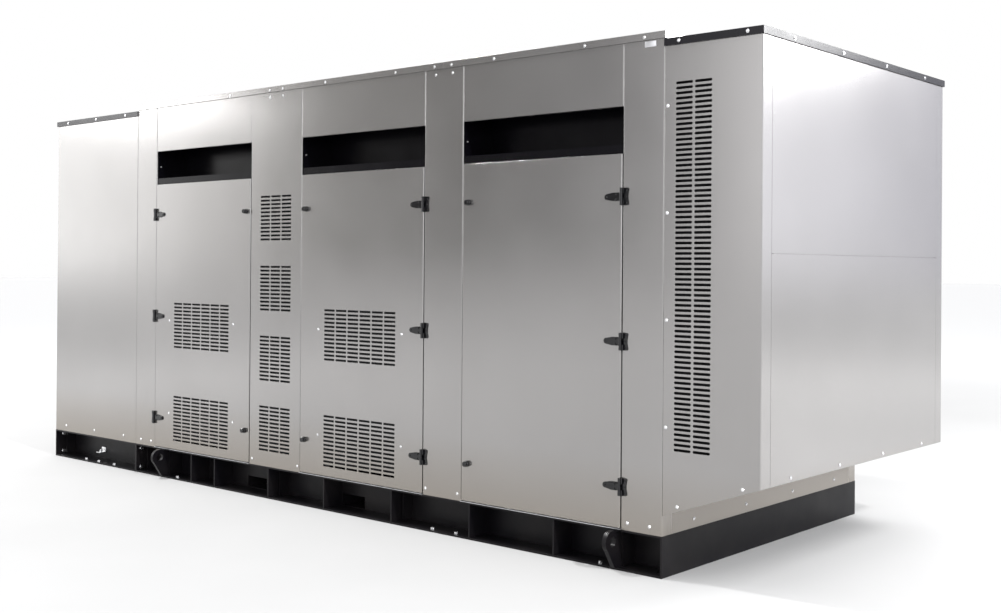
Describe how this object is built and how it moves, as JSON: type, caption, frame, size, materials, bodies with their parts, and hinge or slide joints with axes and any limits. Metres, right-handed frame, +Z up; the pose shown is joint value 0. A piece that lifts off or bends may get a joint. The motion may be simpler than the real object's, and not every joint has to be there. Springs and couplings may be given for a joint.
{
  "type": "enclosed standby generator set",
  "caption": "Diesel standby generator set in a sheet-metal enclosure with hinged vented doors, air inlets and intake hood on a steel skid with lifting lugs.",
  "frame": {"origin": "centre of the footprint on the ground", "axes": "+X from the radiator discharge box to the intake hood, +Y to the rear side, +Z up"},
  "size_m": [6.378, 2.202, 2.722],
  "materials": {
    "skid_black": "gloss enamel",
    "enclosure_silver": "satin powder coat",
    "galvanised": "bright sheet",
    "inlet_black": "gloss powder coat",
    "cap_black": "gloss powder coat",
    "hardware_black": "semi-gloss",
    "zinc": "zinc plated",
    "rubber": "matte",
    "engine_paint": "satin enamel",
    "fan_red": "satin enamel",
    "filter_grey": "satin",
    "exhaust_steel": "heat-dulled",
    "cabinet_grey": "textured powder coat",
    "red_plastic": "gloss",
    "black_plastic": "matte"
  },
  "bodies": {
    "enclosure": {"skid_frame": "skid_black", "skid_extension": "skid_black", "lifting_lugs": "skid_black", "skid_bolts": "zinc", "rubber_mounts": "rubber", "plain_pillars": "enclosure_silver", "vented_pillars": "enclosure_silver", "door_headers": "enclosure_silver", "door_sills": "galvanised", "inlet_pockets": "inlet_black", "main_roof": "enclosure_silver", "end_roof_caps": "cap_black", "hood_sides": "enclosure_silver", "hood_end_panels": "enclosure_silver", "end_walls": "enclosure_silver", "discharge_panels": "enclosure_silver", "hinge_frame_leaves": "hardware_black", "panel_screws": "zinc", "engine_block": "engine_paint", "cylinder_head": "engine_paint", "oil_pan": "hardware_black", "fan_belt": "rubber", "fan_shroud": "hardware_black", "radiator": "hardware_black", "coolant_hoses": "rubber", "air_cleaner": "filter_grey", "exhaust_silencer": "exhaust_steel", "alternator": "engine_paint", "control_box": "cabinet_grey", "batteries": "black_plastic"},
    "door_front_1": {"door_front_1": "enclosure_silver", "hinge_door_leaves_front_1": "hardware_black"},
    "latch_front_1_upper": {"latch_front_1_upper": "hardware_black"},
    "latch_front_1_lower": {"latch_front_1_lower": "hardware_black"},
    "door_front_2": {"door_front_2": "enclosure_silver", "hinge_door_leaves_front_2": "hardware_black"},
    "latch_front_2_upper": {"latch_front_2_upper": "hardware_black"},
    "latch_front_2_lower": {"latch_front_2_lower": "hardware_black"},
    "door_front_3": {"door_front_3": "enclosure_silver", "hinge_door_leaves_front_3": "hardware_black"},
    "latch_front_3_upper": {"latch_front_3_upper": "hardware_black"},
    "latch_front_3_lower": {"latch_front_3_lower": "hardware_black"},
    "door_rear_1": {"door_rear_1": "enclosure_silver", "hinge_door_leaves_rear_1": "hardware_black"},
    "latch_rear_1_upper": {"latch_rear_1_upper": "hardware_black"},
    "latch_rear_1_lower": {"latch_rear_1_lower": "hardware_black"},
    "door_rear_2": {"door_rear_2": "enclosure_silver", "hinge_door_leaves_rear_2": "hardware_black"},
    "latch_rear_2_upper": {"latch_rear_2_upper": "hardware_black"},
    "latch_rear_2_lower": {"latch_rear_2_lower": "hardware_black"},
    "door_rear_3": {"door_rear_3": "enclosure_silver", "hinge_door_leaves_rear_3": "hardware_black"},
    "latch_rear_3_upper": {"latch_rear_3_upper": "hardware_black"},
    "latch_rear_3_lower": {"latch_rear_3_lower": "hardware_black"},
    "crank": {"crank_pulley": "hardware_black"},
    "fan": {"cooling_fan": "fan_red"},
    "filler_cap": {"radiator_cap": "zinc"},
    "rain_flap": {"rain_cap": "zinc"},
    "button": {"stop_button": "red_plastic"},
    "breaker": {"breaker_handle": "black_plastic"}
  },
  "joints": [
    {"name": "door_front_1_hinge", "type": "hinge", "parent": "enclosure", "child": "door_front_1", "pos_m": [-1.7775, -1.029, 1.1315], "axis": [0, 0, -1], "range_deg": [0, 120]},
    {"name": "latch_front_1_upper_turn", "type": "hinge", "parent": "door_front_1", "child": "latch_front_1_upper", "pos_m": [-0.718, -1.016, 1.848], "axis": [0, 1, 0], "range_deg": [0, 90]},
    {"name": "latch_front_1_lower_turn", "type": "hinge", "parent": "door_front_1", "child": "latch_front_1_lower", "pos_m": [-0.718, -1.016, 0.415], "axis": [0, 1, 0], "range_deg": [0, 90]},
    {"name": "door_front_2_hinge", "type": "hinge", "parent": "enclosure", "child": "door_front_2", "pos_m": [0.9635, -1.029, 1.1315], "axis": [0, 0, 1], "range_deg": [0, 120]},
    {"name": "latch_front_2_upper_turn", "type": "hinge", "parent": "door_front_2", "child": "latch_front_2_upper", "pos_m": [-0.096, -1.016, 1.848], "axis": [0, -1, 0], "range_deg": [0, 90]},
    {"name": "latch_front_2_lower_turn", "type": "hinge", "parent": "door_front_2", "child": "latch_front_2_lower", "pos_m": [-0.096, -1.016, 0.415], "axis": [0, -1, 0], "range_deg": [0, 90]},
    {"name": "door_front_3_hinge", "type": "hinge", "parent": "enclosure", "child": "door_front_3", "pos_m": [2.3795, -1.029, 1.1315], "axis": [0, 0, 1], "range_deg": [0, 120]},
    {"name": "latch_front_3_upper_turn", "type": "hinge", "parent": "door_front_3", "child": "latch_front_3_upper", "pos_m": [1.32, -1.016, 1.848], "axis": [0, -1, 0], "range_deg": [0, 90]},
    {"name": "latch_front_3_lower_turn", "type": "hinge", "parent": "door_front_3", "child": "latch_front_3_lower", "pos_m": [1.32, -1.016, 0.415], "axis": [0, -1, 0], "range_deg": [0, 90]},
    {"name": "door_rear_1_hinge", "type": "hinge", "parent": "enclosure", "child": "door_rear_1", "pos_m": [-1.7775, 1.029, 1.1315], "axis": [0, 0, 1], "range_deg": [0, 120]},
    {"name": "latch_rear_1_upper_turn", "type": "hinge", "parent": "door_rear_1", "child": "latch_rear_1_upper", "pos_m": [-0.718, 1.016, 1.848], "axis": [0, 1, 0], "range_deg": [0, 90]},
    {"name": "latch_rear_1_lower_turn", "type": "hinge", "parent": "door_rear_1", "child": "latch_rear_1_lower", "pos_m": [-0.718, 1.016, 0.415], "axis": [0, 1, 0], "range_deg": [0, 90]},
    {"name": "door_rear_2_hinge", "type": "hinge", "parent": "enclosure", "child": "door_rear_2", "pos_m": [0.9635, 1.029, 1.1315], "axis": [0, 0, -1], "range_deg": [0, 120]},
    {"name": "latch_rear_2_upper_turn", "type": "hinge", "parent": "door_rear_2", "child": "latch_rear_2_upper", "pos_m": [-0.096, 1.016, 1.848], "axis": [0, -1, 0], "range_deg": [0, 90]},
    {"name": "latch_rear_2_lower_turn", "type": "hinge", "parent": "door_rear_2", "child": "latch_rear_2_lower", "pos_m": [-0.096, 1.016, 0.415], "axis": [0, -1, 0], "range_deg": [0, 90]},
    {"name": "door_rear_3_hinge", "type": "hinge", "parent": "enclosure", "child": "door_rear_3", "pos_m": [2.3795, 1.029, 1.1315], "axis": [0, 0, -1], "range_deg": [0, 120]},
    {"name": "latch_rear_3_upper_turn", "type": "hinge", "parent": "door_rear_3", "child": "latch_rear_3_upper", "pos_m": [1.32, 1.016, 1.848], "axis": [0, -1, 0], "range_deg": [0, 90]},
    {"name": "latch_rear_3_lower_turn", "type": "hinge", "parent": "door_rear_3", "child": "latch_rear_3_lower", "pos_m": [1.32, 1.016, 0.415], "axis": [0, -1, 0], "range_deg": [0, 90]},
    {"name": "crank_spin", "type": "hinge", "parent": "enclosure", "child": "crank", "pos_m": [-1.508, 0, 0.723], "axis": [1, 0, 0], "continuous": true},
    {"name": "fan_spin", "type": "hinge", "parent": "enclosure", "child": "fan", "pos_m": [-1.628, 0, 1.083], "axis": [1, 0, 0], "continuous": true},
    {"name": "filler_cap_turn", "type": "hinge", "parent": "enclosure", "child": "filler_cap", "pos_m": [-1.883, -0.471, 1.903], "axis": [0, 0, 1], "range_deg": [0, 90]},
    {"name": "rain_cap_tilt", "type": "hinge", "parent": "enclosure", "child": "rain_flap", "pos_m": [-2.566, 0, 2.714], "axis": [0, 1, 0], "range_deg": [0, 75]},
    {"name": "stop_button_press", "type": "slide", "parent": "enclosure", "child": "button", "axis": [0, 1, 0], "range_m": [0, 0.006], "stiffness_N_per_m": 600},
    {"name": "breaker_throw", "type": "hinge", "parent": "enclosure", "child": "breaker", "pos_m": [1.696, -0.671, 0.95], "axis": [1, 0, 0], "range_deg": [-35, 35]}
  ],
  "couplings": [
    {"joint": "fan_spin", "follows": "crank_spin", "ratio": 1.2222}
  ]
}
